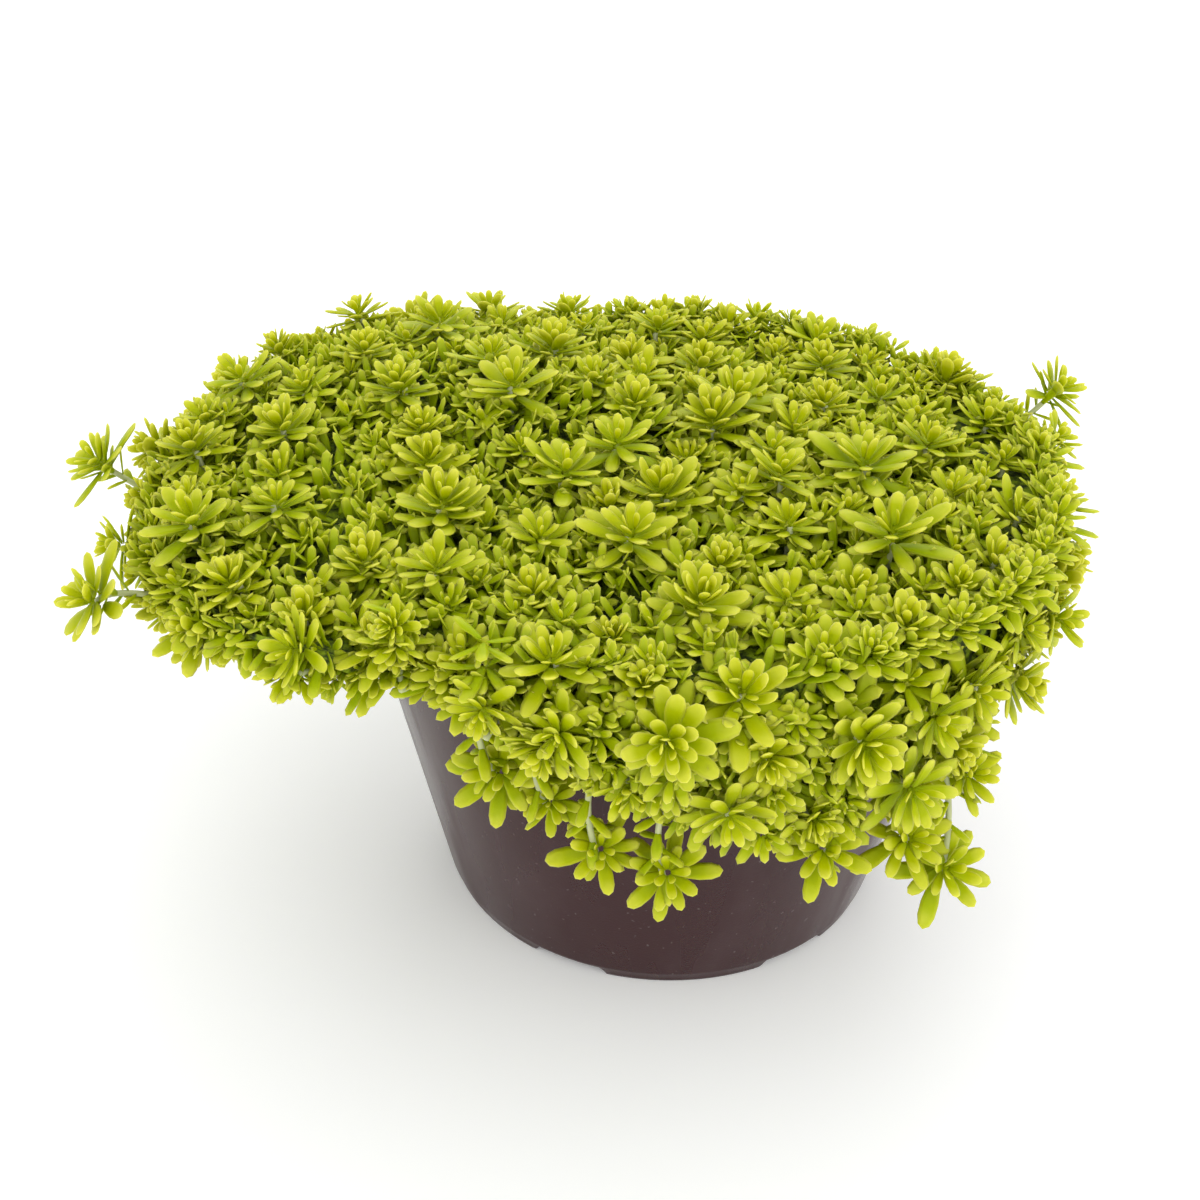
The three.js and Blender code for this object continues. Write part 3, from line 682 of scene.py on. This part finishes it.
def rim_lift(r, z, s, clear):
    """How far points over the pot's rim rise to stand clear of it: the height wanted less their own."""
    over = (r > RIM_INNER) & (r < CURTAIN_RADIUS + 5) & (s < BRIM_AT)
    return np.where(over, np.maximum(POT_HEIGHT + clear - z, 0), 0)


STEPS_ON = np.repeat([0.5, 0.0, 0.5], len(shoots))
ROWS_DOWN = np.repeat([0.5, 0.5, 0.0], len(shoots))
spread = grown.uniform(-1, 1, (4, 3 * len(shoots)))
near_t, near_s = np.tile(azimuths, 3), np.tile(rows_at, 3)
side_t = near_t + (STEPS_ON + 0.16 * spread[0]) * SPACING / np.maximum(envelope(near_t, near_s)[0], 14)
side_s = np.clip(near_s + (ROWS_DOWN + 0.2 * spread[1]) / ROWS, 0, 0.97 - 0.3 * bump(side_t, *RIM_SHOWS))
side_r, side_z = envelope(side_t, side_s)
side_nr, side_nz = outward(side_t, side_s)
sink = 2 * spread[2] - SIDE_SUNK
side_far = side_r + side_nr * sink
side_far = np.where(side_s > HANG_AT, np.maximum(side_far, CURTAIN_RADIUS + 4.5), side_far)
side_high = side_z + side_nz * sink
side_lift = rim_lift(side_far, side_high, side_s, SIDE_CLEARS_RIM)
side_tips = polar(side_far, side_t, side_high + side_lift)
side_axes = polar(side_nr, side_t, side_nz) + 0.2 * spread[:3].T
side_axes[:, 2] += 0.15 + 0.2 * side_lift
side_axes = unit(side_axes)
side_scales = SIDE_ROSETTE + 1.8 * spread[3]
side_spins = np.pi * spread[3]
side_owner = np.where(np.tile(loose, 3), "none", nearest_owner(side_t, side_r))

# Below both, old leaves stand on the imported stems, spread evenly over the cushion by the golden angle:
# round it by the area of each slice, and down each slice by the area passed.
UNDER_LEAVES = 4800
UNDER_DEPTH = 8.0
UNDER_CLEARS_RIM = 1.5
SLICES = 180
share = (np.arange(UNDER_LEAVES) + 0.5) / UNDER_LEAVES
slice_t = np.linspace(0, 2 * np.pi, SLICES + 1)
step_s = np.linspace(0, 1, 120)
step_r, step_z = envelope(slice_t, step_s[:, None])
band = np.hypot(np.diff(step_r, axis=0), np.diff(step_z, axis=0)) * step_r[1:]
area = np.concatenate([0 * band[:1], np.cumsum(band, axis=0)])
passed = np.concatenate([[0], np.cumsum(area[-1, 1:])])
way_round = GOLDEN_TURN / (2 * np.pi) * np.arange(UNDER_LEAVES) % 1
under_t = np.interp(way_round, passed / passed[-1], slice_t)
slices = np.round(under_t / (2 * np.pi) * SLICES).astype(int)
under_s = np.array([np.interp(part * area[-1, k], area[:, k], step_s) for part, k in zip(share, slices)])
under_s *= 1 - 0.25 * bump(under_t, *RIM_SHOWS)
under_r, under_z = envelope(under_t, under_s)
under_nr, under_nz = outward(under_t, under_s)
under_far = under_r - under_nr * UNDER_DEPTH
under_high = under_z - under_nz * UNDER_DEPTH
under_far = np.where(under_s > 0.6, np.maximum(under_far, CURTAIN_RADIUS + 2), under_far)
under_lift = rim_lift(under_far, under_high, under_s, UNDER_CLEARS_RIM)
under_base = polar(under_far, under_t, under_high + under_lift)
under_normal = polar(under_nr, under_t, under_nz)
under_normal[:, 2] += 0.3 * under_lift
under_normal = unit(under_normal)
under_owner = nearest_owner(under_t, under_r)
lean = np.radians(grown.uniform(15, 70, UNDER_LEAVES))
around_turn = grown.uniform(0, 2 * np.pi, UNDER_LEAVES)
flat_one = unit(np.cross(under_normal, (0.3, 0.1, 1.0)))
flat_two = np.cross(under_normal, flat_one)
radial = np.cos(around_turn)[:, None] * flat_one + np.sin(around_turn)[:, None] * flat_two
under_frames = [
    under_base,
    under_normal * np.cos(lean)[:, None] + radial * np.sin(lean)[:, None],
    under_normal * np.sin(lean)[:, None] - radial * np.cos(lean)[:, None],
    grown.uniform(7.5, 10.5, UNDER_LEAVES), grown.uniform(1.2, 1.7, UNDER_LEAVES),
    grown.uniform(-0.15, 0.1, UNDER_LEAVES), np.ones(UNDER_LEAVES), grown.normal(0, 1, UNDER_LEAVES),
]


# Each loose shoot carries nine single leaves, evenly spaced along the outer two thirds of its stem.
STEM_LEAVES = 9
STEM_LEAF_LEAN = 58
STEM_BEND = 14


def bend(start, end, part):
    """A point on a loose stem: straight from start to end, pushed to its side and up by the bend times
    part times (1 - part)."""
    swell = np.concatenate([0.8 * np.sign(end[:, :1]), 0 * end[:, :1], 0.6 + 0 * end[:, :1]], axis=1)
    return start + (end - start) * part + swell * STEM_BEND * part * (1 - part)


loose_t = azimuths[loose]
start_r, start_z = envelope(loose_t, rows_at[loose])
start_nr, start_nz = outward(loose_t, rows_at[loose])
loose_start = polar(start_r - 6 * start_nr, loose_t, start_z - 6 * start_nz)
loose_end = tips[loose]


def along_stems(own):
    """Frames of the leaves on the loose stems of one clump, each leaning 50 to 66 degrees off its stem."""
    parts = np.linspace(0.3, 0.94, STEM_LEAVES)
    start, end = loose_start[own], loose_end[own]
    base = np.stack([bend(start, end, part) for part in parts], axis=1).reshape(-1, 3)
    ahead = np.stack([bend(start, end, part + 0.03) for part in parts], axis=1).reshape(-1, 3)
    count = len(base)
    stem = unit(ahead - base)
    one = unit(np.cross(stem, (0.2, 0.3, 1.0)))
    two = np.cross(stem, one)
    turn = GOLDEN_TURN * np.arange(count)[:, None]
    radial = np.cos(turn) * one + np.sin(turn) * two
    lean = np.radians(STEM_LEAF_LEAN + grown.uniform(-8, 8, count))[:, None]
    return [
        base, stem * np.cos(lean) + radial * np.sin(lean), stem * np.sin(lean) - radial * np.cos(lean),
        grown.uniform(7, 9.5, count), grown.uniform(1.3, 1.6, count), grown.uniform(-0.1, 0.1, count),
        np.full(count, 0.9), grown.normal(0, 1, count),
    ]


# Nearly half of the tips are dense rosettes and the rest are stars; no two are quite of a size. All
# but the loose ones have a second whorl below. The tips of the loose shoots turn up to the light and
# open wider, and those at the front left are smaller and hold clear of the pot's rim.
DENSE_SHARE = 0.45
DENSE_LEAVES = 30
STAR_LEAVES = 20
SIDE_LEAVES = 13
LOW_LEAVES = 10
NUDGE = 1.6
LOOSE_RAISED = 5
RIM_RAISED = 17
leaf_material = succulent_leaf()
nudge = grown.uniform(-NUDGE, NUDGE, tips.shape)
tips_seen = tips + np.where(loose[:, None], 0, nudge)
raised = np.where((rows_at > 0.7) & ~loose, bump(azimuths, *RIM_SHOWS), 0)
tips_seen[:, 2] += LOOSE_RAISED * (loose & (tips[:, 2] < 100)) + RIM_RAISED * raised
axes_seen = unit(axes + np.where(loose[:, None], (0, -0.4, 0.7), 0))
sizes_seen = scales * grown.uniform(0.88, 1.17, len(shoots)) * (1 + 0.12 * loose - 0.3 * raised)
is_dense = (grown.uniform(0, 1, len(shoots)) < DENSE_SHARE) & ~loose
for place in ["crown", *PLACES]:
    domes = (owner == place) & is_dense
    stars = (owner == place) & ~is_dense
    also = side_owner == place
    under = under_owner == place
    low = (owner == place) & ~loose
    low_tips = tips_seen[low] - 0.5 * scales[low, None] * axes_seen[low]
    # The last number of each group is its depth in the cushion, which the leaf material paints as shade.
    groups = [
        (rosette_leaves(*picked(domes, tips_seen, axes_seen, spins, sizes_seen), DENSE_LEAVES, True),
         LEAF_STATIONS, 0.0),
        (rosette_leaves(*picked(stars, tips_seen, axes_seen, spins, sizes_seen), STAR_LEAVES, False),
         LEAF_STATIONS, 0.1),
        (rosette_leaves(low_tips, axes_seen[low], spins[low] + 1, 0.95 * sizes_seen[low], LOW_LEAVES, False),
         PLAIN_STATIONS, 0.5),
        (rosette_leaves(*picked(also, side_tips, side_axes, side_spins, side_scales), SIDE_LEAVES, False),
         PLAIN_STATIONS, 0.35),
        (picked(under, *under_frames), PLAIN_STATIONS, 0.8),
    ]
    hangs = owner[loose] == place
    if hangs.any():
        groups.append((along_stems(hangs), PLAIN_STATIONS, 0.3))
    leaves = leaves_object(f"leaves_{place}", groups, leaf_material)
    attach(leaves, "root")
    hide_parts(f"clump_{place}")


# Stems: round, pale and watery, 1.6 mm thick. Each shoot tip has its own, from its place in the
# outline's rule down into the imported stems; the loose ones bend out from the brim before they hang or
# reach up.
STEM_RADIUS = 0.8
STEM_SIDES = 7


def stem_skins(paths, radius):
    """Round stems along paths (N, K, 3): rings at right angles to the way from each point to the next."""
    ahead = unit(np.gradient(paths, axis=1))
    one = unit(np.cross(ahead, (0.31, 0.12, 1.0)))
    two = np.cross(ahead, one)
    turn = 2 * np.pi * np.arange(STEM_SIDES) / STEM_SIDES
    ring = np.cos(turn)[:, None] * one[:, :, None] + np.sin(turn)[:, None] * two[:, :, None]
    rings = paths[:, :, None] + radius * ring
    first = paths[:, 0] - 0.3 * ahead[:, 0]
    last = paths[:, -1] + 0.3 * ahead[:, -1]
    return pole_solid(rings * MM, first * MM, last * MM)


def watery_stem():
    """Young stonecrop stem: pale whitish green, smooth and waxy, browner where it is old."""
    material, tree = new_material("watery_stem")
    place = add(tree, "ShaderNodeTexCoord", {}).outputs["Object"]
    cloud = add(tree, "ShaderNodeTexNoise", {"Vector": place, "Scale": 140.0, "Detail": 3.0})
    tone = mix(tree, cloud.outputs[0], tint("#c3cf8a"), tint("#b9b795"))
    relief = add(tree, "ShaderNodeBump", {"Height": cloud.outputs[0], "Strength": 0.2, "Distance": 0.0003})
    finish_material(tree, add(tree, "ShaderNodeBsdfPrincipled", {
        "Base Color": tone, "Roughness": 0.5, "Normal": relief.outputs[0],
        "Subsurface Weight": 0.2, "Subsurface Radius": (1.0, 0.9, 0.4), "Subsurface Scale": 0.002,
    }))
    return material


parts = np.linspace(0, 1, 5)
foot_r, foot_z = envelope(azimuths, rows_at)
foot_nr, foot_nz = outward(azimuths, rows_at)
foot_depth = packed_depth(rows_at) + 3
feet = polar(foot_r - foot_nr * foot_depth, azimuths, foot_z - foot_nz * foot_depth)
short_paths = np.stack([tips + (feet - tips) * part for part in parts], axis=1)[~loose]
loose_parts = np.linspace(0, 1, 12)
loose_paths = np.stack([bend(loose_start, loose_end, part) for part in loose_parts], axis=1)
stem_material = watery_stem()
for name, paths in {"shoot_stems": short_paths, "loose_stems": loose_paths}.items():
    stems = mesh_object(name, *stem_skins(paths, STEM_RADIUS), stem_material)
    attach(stems, "root")
    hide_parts(*[f"clump_{place}" for place in ["crown", *PLACES]])


# Packed stems: the dark, matted middle of the cushion, stems and shed leaves grown together over the
# compost and the pot's lip. It shows only as shade between the leaves, and from below.
MAT_SIDES = 220
MAT_STEPS = 46
MAT_ON_SOIL = SOIL_TOP + 1.8


def mat_skin():
    """A skin round the axis: 10 to 14 mm inside the outline, pitted at random by up to 1.6 mm, in to the
    lip below the overhang, over the lip and down to the compost."""
    turn = -2 * np.pi * np.arange(MAT_SIDES) / MAT_SIDES
    s = np.linspace(0.02, 0.97, MAT_STEPS)[:, None] * (1 - 0.2 * bump(turn, *RIM_SHOWS))
    r, z = envelope(turn, s)
    nr, nz = outward(turn, s)
    depth = packed_depth(s) + 2 + chances.uniform(-1.6, 1.6, r.shape)
    r, z = r - nr * depth, z - nz * depth
    over = POT_HEIGHT + 0.7
    z = np.where((r > 82) & (r < CURTAIN_RADIUS + 4) & (s < BRIM_AT), np.maximum(z, over + 0.8), z)
    r = np.where(s > HANG_AT, np.maximum(r, CURTAIN_RADIUS + 2.5), r)
    inner = wall_radius(POT_HEIGHT) - WALL
    hem_r, hem_z = r[-1:], z[-1:]
    back = [
        (np.maximum(hem_r - 4, CURTAIN_RADIUS), hem_z - 1.2),
        (CURTAIN_RADIUS + 0 * hem_r, over - 4 + 0 * hem_z),
        (CURTAIN_RADIUS - 0.6 + 0 * hem_r, over + 0 * hem_z), (inner - 2 + 0 * hem_r, over + 0 * hem_z),
        (inner - 6 + 0 * hem_r, MAT_ON_SOIL + 0 * hem_z), (20 + 0 * hem_r, MAT_ON_SOIL + 0 * hem_z),
    ]
    r = np.concatenate([r, *[part[0] for part in back]])
    z = np.concatenate([z, *[part[1] for part in back]])
    rings = polar(r, turn, z)
    ends = np.array([[[0, 0, z[0].mean()]], [[0, 0, MAT_ON_SOIL]]])
    return pole_solid(rings[None] * MM, *(ends * MM))


def matted_stems():
    """Old stems and shaded leaves matted together: deep moss green to yellow-green, matt and stringy."""
    material, tree = new_material("matted_stems")
    place = add(tree, "ShaderNodeTexCoord", {}).outputs["Object"]
    strings = add(tree, "ShaderNodeTexNoise", {"Vector": place, "Scale": 420.0, "Detail": 5.0})
    patchy = stretch(tree, strings.outputs[0], 0.4, 0.6, 0.0, 1.0)
    tone = mix(tree, patchy, tint("#2f3f04"), tint("#8fa604"))
    relief = add(tree, "ShaderNodeBump", {"Height": strings.outputs[0], "Strength": 0.8, "Distance": 0.002})
    finish_material(tree, add(tree, "ShaderNodeBsdfPrincipled", {
        "Base Color": tone, "Roughness": 0.85, "Normal": relief.outputs[0],
    }))
    return material


mat = mesh_object("packed_stems", *mat_skin(), matted_stems())
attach(mat, "root")
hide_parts(*[f"clump_{place}" for place in ["crown", *PLACES]])
